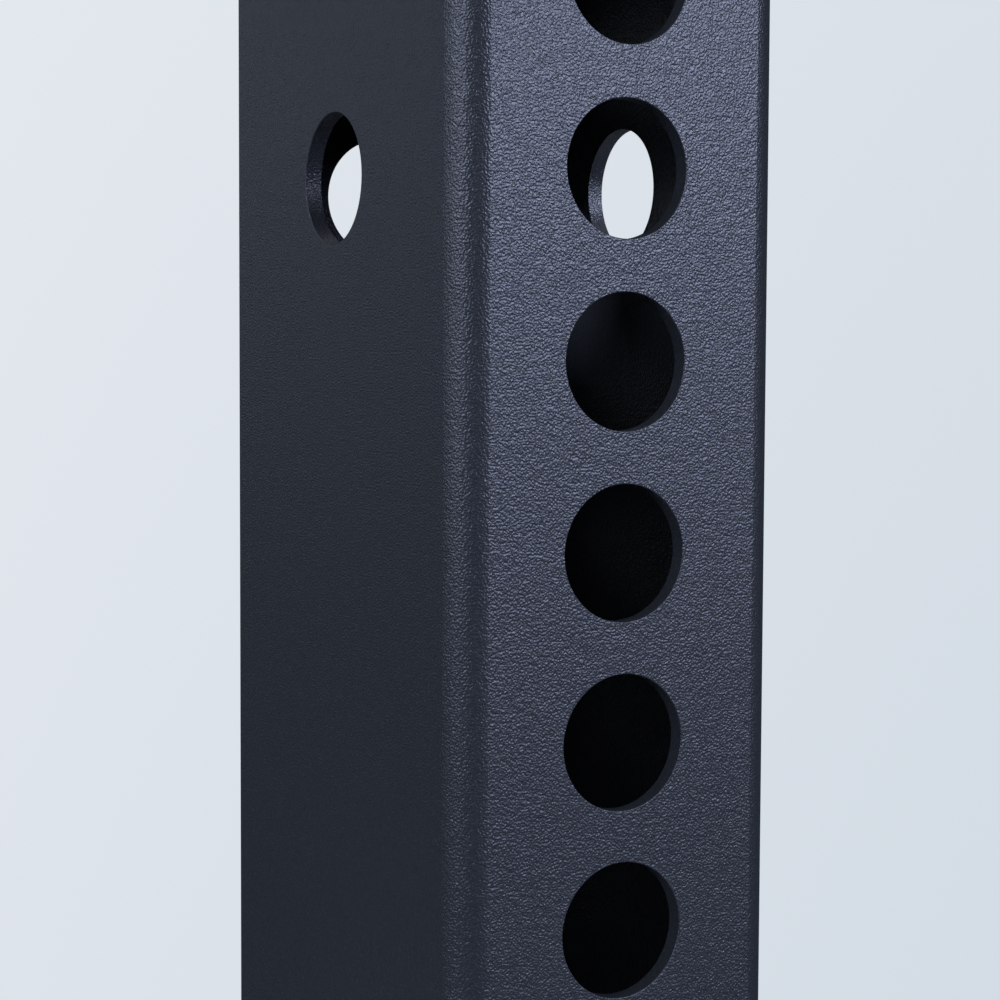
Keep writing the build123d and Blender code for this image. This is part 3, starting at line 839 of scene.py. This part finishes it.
def make_welds():
    """Beads round every member's ends, the uprights' feet and under each J-hook's shelf."""
    shell = Shell()
    half_x, half_z = TUBE_NARROW / 2, TUBE_WIDE / 2
    foot_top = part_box("foot_plate_front_left")[1].z
    for x in (-UPRIGHT_X, UPRIGHT_X):
        for level in ("lower", "upper"):
            z = middle(f"{level}_side_member_left").z
            for way in (-1, 1):
                at = Vector((x, FRAME_Y + way * (INSIDE_Y - END_PLATE_T), z))
                bead(shell, loop_path(at, (1, 0, 0), (0, 0, 1), half_x, half_z, CORNER_R), BEAD_R)
        for y in (-UPRIGHT_Y, UPRIGHT_Y):
            at = Vector((x, FRAME_Y + y, foot_top))
            bead(shell, loop_path(at, (1, 0, 0), (0, 1, 0), half_x, half_z, CORNER_R), BEAD_R)
    for node, y, half_y, half_up, corner in (
        ("lower_rear_crossmember", UPRIGHT_Y, half_x, half_z, CORNER_R),
        ("upper_rear_crossmember", UPRIGHT_Y, half_x, half_z, CORNER_R),
        ("pull_up_bar", -UPRIGHT_Y, BAR_R, BAR_R, BAR_R),
    ):
        for way in (-1, 1):
            at = Vector((way * (INSIDE_X - END_PLATE_T), FRAME_Y + y, middle(node).z))
            bead(shell, loop_path(at, (0, 1, 0), (0, 0, 1), half_y, half_up, corner), BEAD_R)
    finish_weld(shell.build("weld_beads"), "root")
    for side, way in SIDES.items():
        shell = Shell()
        base = Vector((way * UPRIGHT_X, FRAME_Y - FRAME_HALF_Y - JHOOK_FRONT,
                       hole_z(JHOOK_HOLE) - JHOOK_SHELF_DROP))
        for a, b in JHOOK_BEADS:
            path = stepped([base + Vector(a), base + Vector(b)])
            bead(shell, path, JHOOK_BEAD_R, closed=False)
        finish_weld(shell.build(f"jhook_weld_beads_{side}"), f"jhook_{side}")


def finish_weld(piece, body):
    piece.data.materials.append(COAT)
    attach(piece, body)


# Plate storage horns with their collars, bumpers and caps
HORN_R = 0.024
HORN_BORE_R = 0.021
HORN_L = 0.230
HORN_END_R = 0.0005
HORN_COLLAR_EDGE_R = 0.0003
HORN_COLLAR_R = 0.027
BUMPER_R = 0.034
BUMPER_T = 0.006
BUMPER_BACK_R = 0.0006
BUMPER_FRONT_R = 0.0018
BUMPER_BORE_R = 0.0008
CAP_R = 0.0235
CAP_T = 0.004
CAP_PLUG = 0.018
CAP_PLUG_R = HORN_BORE_R - 0.0002
CAP_PLUG_EDGE_R = 0.001
CAP_SEAT_R = 0.0003
CAP_DOME_R = 0.0028

# Band pegs on the lower side members
PEG_Y = 0.150
PEG_R = 0.0095
PEG_L = 0.062
PEG_HEAD_R = 0.015
PEG_HEAD_T = 0.006
PEG_HEAD_EDGE_R = 0.0015
STUD_R = 0.005
STUD_L = 0.060
STUD_TIP_R = 0.0008


def make_horns():
    """Horn tubes turned with their collars, bumpers and caps, on bolted plates with eased edges."""
    tube = rounded([
        (HORN_BORE_R, HORN_L, 0), (HORN_BORE_R, 0, 0), (HORN_COLLAR_R, 0, 0),
        (HORN_COLLAR_R, BUMPER_T, HORN_COLLAR_EDGE_R), (HORN_R, BUMPER_T, 0), (HORN_R, HORN_L, HORN_END_R),
        (HORN_BORE_R, HORN_L, 0),
    ])
    bumper = rounded([
        (HORN_COLLAR_R, 0, 0), (BUMPER_R, 0, BUMPER_BACK_R), (BUMPER_R, BUMPER_T, BUMPER_FRONT_R),
        (HORN_COLLAR_R, BUMPER_T, BUMPER_BORE_R), (HORN_COLLAR_R, 0, 0),
    ])
    cap = rounded([
        (0, -CAP_PLUG, 0), (CAP_PLUG_R, -CAP_PLUG, CAP_PLUG_EDGE_R), (CAP_PLUG_R, 0, 0),
        (CAP_R, 0, CAP_SEAT_R), (CAP_R, CAP_T, CAP_DOME_R), (0, CAP_T, 0),
    ], 6)
    plate_front = FRAME_Y + FRAME_HALF_Y + HORN_PLATE_T
    seats = []
    for level, number in HORN_HOLES.items():
        for side, way in SIDES.items():
            seat = (way * UPRIGHT_X, plate_front, hole_z(number))
            seats.append(seat)
            node = f"plate_horn_{level}_{side}"
            plate = refined(node, PLATE_EDGE_R, lambda at: at.y < plate_front + KEEP_SLACK)
            stand_for(plate, node, coat="powder_coat")
            make_turned(node, f"horn_sleeve_{level}_{side}", [(tube, seat, (0, 1, 0))])
    make_turned("plate_horn_bumpers", "turned_bumpers", [(bumper, seat, (0, 1, 0)) for seat in seats])
    make_turned("plate_horn_caps", "domed_caps",
                [(cap, (x, y + HORN_L, z), (0, 1, 0)) for x, y, z in seats])


def make_band_pegs():
    """Band pegs turned with their heads; each stud is drawn only part of the way through the member."""
    peg = rounded([
        (STUD_R, -STUD_L, STUD_TIP_R), (STUD_R, 0, 0), (PEG_R, 0, 0), (PEG_R, PEG_L, 0),
        (PEG_HEAD_R, PEG_L, PEG_HEAD_EDGE_R), (PEG_HEAD_R, PEG_L + PEG_HEAD_T, PEG_HEAD_EDGE_R),
        (0, PEG_L + PEG_HEAD_T, 0),
    ])
    z = middle("lower_side_member_left").z
    make_turned("band_pegs", "turned_band_pegs",
                [(peg, (way * (UPRIGHT_X + TUBE_NARROW / 2), FRAME_Y + y, z), (way, 0, 0))
                 for way in (-1, 1) for y in (-PEG_Y, PEG_Y)])


# Width of the rounded edge given to each kind of CAD node, by how its name starts
EASED = {
    "foot_plate": 0.0006, "foot_pad": 0.0005, "top_cap": 0.0003, "lower_side_member": 0.0006,
    "upper_side_member": 0.0006, "lower_rear_crossmember": 0.0006, "upper_rear_crossmember": 0.0006,
    "jhook_bracket": 0.0005, "jhook_liner": 0.0004, "jhook_screws": 0.0002, "jhook_peg": 0.0003,
    "band_peg_nuts": 0.0003,
}


def ease_edges():
    """Round the sharp edges of the plates, members, hooks, caps and pads."""
    for node in frame["nodes"]:
        for start, width in EASED.items():
            if node.startswith(start):
                stand_for(refined(node, width), node, body_of(node))


def finish_cad_nodes():
    for name, node in frame["nodes"].items():
        for slot in node.material_slots:
            slot.material = BY_SLOT[SLOT_OF[name]]


make_uprights()
make_fasteners()
make_safeties()
make_pull_up_bar()
make_horns()
make_band_pegs()
make_welds()
ease_edges()
finish_cad_nodes()


# ---------------------------------------------------------------- camera, lights and stage

TUBE_LOW, TUBE_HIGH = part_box("upright_front_right")
HOLE_CENTRE = Vector(((TUBE_LOW.x + TUBE_HIGH.x) / 2, TUBE_LOW.y, hole_z(VIEW_HOLE)))

CAMERA_OFFSET = Vector((-0.1646, -0.2619, -0.0238))
CAMERA_YAW = 29.07
CAMERA_PITCH = -3.70
CAMERA_ROLL = 0.26
LENS = 83.98
SENSOR = 36.0
CLIP = (0.02, 100.0)


def make_camera():
    data = bpy.data.cameras.new("camera")
    data.lens = LENS
    data.sensor_width = SENSOR
    data.clip_start, data.clip_end = CLIP
    camera = bpy.data.objects.new("camera", data)
    turn = Matrix.Rotation(math.radians(-CAMERA_YAW), 4, "Z")
    turn @= Matrix.Rotation(math.radians(90 + CAMERA_PITCH), 4, "X")
    turn @= Matrix.Rotation(math.radians(CAMERA_ROLL), 4, "Z")
    camera.matrix_world = Matrix.Translation(HOLE_CENTRE + CAMERA_OFFSET) @ turn
    bpy.context.scene.collection.objects.link(camera)
    bpy.context.scene.camera = camera


def make_softbox(name, target, azimuth, elevation, distance, size, power, colour):
    """Square light turned to its target; azimuth 0 is in front of the cage, positive to the right."""
    a, e = math.radians(azimuth), math.radians(elevation)
    away = Vector((math.sin(a) * math.cos(e), -math.cos(a) * math.cos(e), math.sin(e)))
    data = bpy.data.lights.new(name, "AREA")
    data.shape = "RECTANGLE"
    data.size = data.size_y = size
    data.energy = power
    data.color = colour
    light = bpy.data.objects.new(name, data)
    light.location = target + away * distance
    light.rotation_euler = away.to_track_quat("Z", "Y").to_euler()
    light.visible_camera = False
    bpy.context.scene.collection.objects.link(light)


BACKDROP_LIGHT = (0.768, 0.807, 0.855, 1)
BACKDROP_DIM = (0.651, 0.708, 0.776, 1)
BACKDROP_DRIFT = (1.71, 0.0, -0.90)
BACKDROP_START = 0.364
AMBIENT = (0.66, 0.88, 1.0, 1)
AMBIENT_STRENGTH = 0.055


def make_world():
    """Pale backdrop that drifts a little in tone round the horizon, and a dimmer ambient light."""
    world = bpy.data.worlds.new("studio")
    bpy.context.scene.world = world
    world.use_nodes = True
    nodes, links = world.node_tree.nodes, world.node_tree.links
    nodes.clear()
    way = nodes.new("ShaderNodeTexCoord")
    drift = nodes.new("ShaderNodeVectorMath")
    drift.operation = "DOT_PRODUCT"
    drift.inputs[1].default_value = BACKDROP_DRIFT
    links.new(way.outputs["Generated"], drift.inputs[0])
    ramp = nodes.new("ShaderNodeMapRange")
    ramp.inputs["From Min"].default_value = BACKDROP_START
    ramp.inputs["From Max"].default_value = BACKDROP_START + 1
    links.new(drift.outputs["Value"], ramp.inputs["Value"])
    tone = nodes.new("ShaderNodeMix")
    tone.data_type = "RGBA"
    tone.inputs[6].default_value = BACKDROP_LIGHT
    tone.inputs[7].default_value = BACKDROP_DIM
    links.new(ramp.outputs["Result"], tone.inputs[0])
    backdrop = nodes.new("ShaderNodeBackground")
    links.new(tone.outputs[2], backdrop.inputs["Color"])
    ambient = nodes.new("ShaderNodeBackground")
    ambient.inputs["Color"].default_value = AMBIENT
    ambient.inputs["Strength"].default_value = AMBIENT_STRENGTH
    seen = nodes.new("ShaderNodeLightPath")
    both = nodes.new("ShaderNodeMixShader")
    links.new(seen.outputs["Is Camera Ray"], both.inputs[0])
    links.new(ambient.outputs[0], both.inputs[1])
    links.new(backdrop.outputs[0], both.inputs[2])
    output = nodes.new("ShaderNodeOutputWorld")
    links.new(both.outputs[0], output.inputs["Surface"])


FLOOR_DARK = (0.57, 0.59, 0.62, 1)
FLOOR_LIGHT = (0.60, 0.62, 0.65, 1)
FLOOR_FLECK = 0.3
FLOOR_SIDES = 64
FLOOR_R = 4.0
FLOOR_SOLID_R = 0.8
FLOOR_FADE_R = 2.3


def make_floor():
    """Pale studio floor that fades into the backdrop away from the cage."""
    shell = Shell()
    up = Vector((0, 0, 1))
    turns = [math.tau * i / FLOOR_SIDES for i in range(FLOOR_SIDES)]
    outer = [(Vector((math.cos(a), math.sin(a), 0)) * FLOOR_R, up) for a in turns]
    inner = [(point / 2, up) for point, _ in outer]
    shell.strip(outer, inner)
    shell.face(*inner)
    floor = shell.build("studio_floor")
    tree = Tree("studio_floor")
    reach = tree.node("ShaderNodeVectorMath", {0: tree.place}, operation="LENGTH").outputs["Value"]
    fade = tree.remap(reach, FLOOR_SOLID_R, FLOOR_FADE_R, 1.0, 0.0)
    fleck = tree.mix(tree.noise(FLOOR_FLECK, detail=3.0), FLOOR_DARK, FLOOR_LIGHT)
    floor.data.materials.append(tree.finish(Base_Color=fleck, Roughness=0.7, Alpha=fade))


CAGE_MIDDLE = Vector((0, 0, 1.0))
KEY_COLOUR = (0.80, 0.84, 1.0)
LEFT_COLOUR = (0.82, 0.88, 1.0)
OVERHEAD_COLOUR = (0.96, 0.98, 1.0)

# Name, target, azimuth, elevation, distance, size, power and colour of each light
LIGHTS = [
    ("key", HOLE_CENTRE, 25, 19, 1.7, 0.35, 48, KEY_COLOUR),
    ("key_side", HOLE_CENTRE, 41, 9, 1.7, 0.35, 7, KEY_COLOUR),
    ("left_near", HOLE_CENTRE, -76, 18, 1.7, 0.35, 32, LEFT_COLOUR),
    ("left_far", HOLE_CENTRE, -112, 12, 1.7, 0.35, 8, LEFT_COLOUR),
    ("left_back", HOLE_CENTRE, -160, 8, 1.7, 0.5, 0.6, LEFT_COLOUR),
    ("overhead", CAGE_MIDDLE, 0, 89, 2.6, 5.0, 90, OVERHEAD_COLOUR),
]

make_camera()
make_world()
make_floor()
for light in LIGHTS:
    make_softbox(*light)
bpy.context.scene.view_settings.view_transform = "Standard"
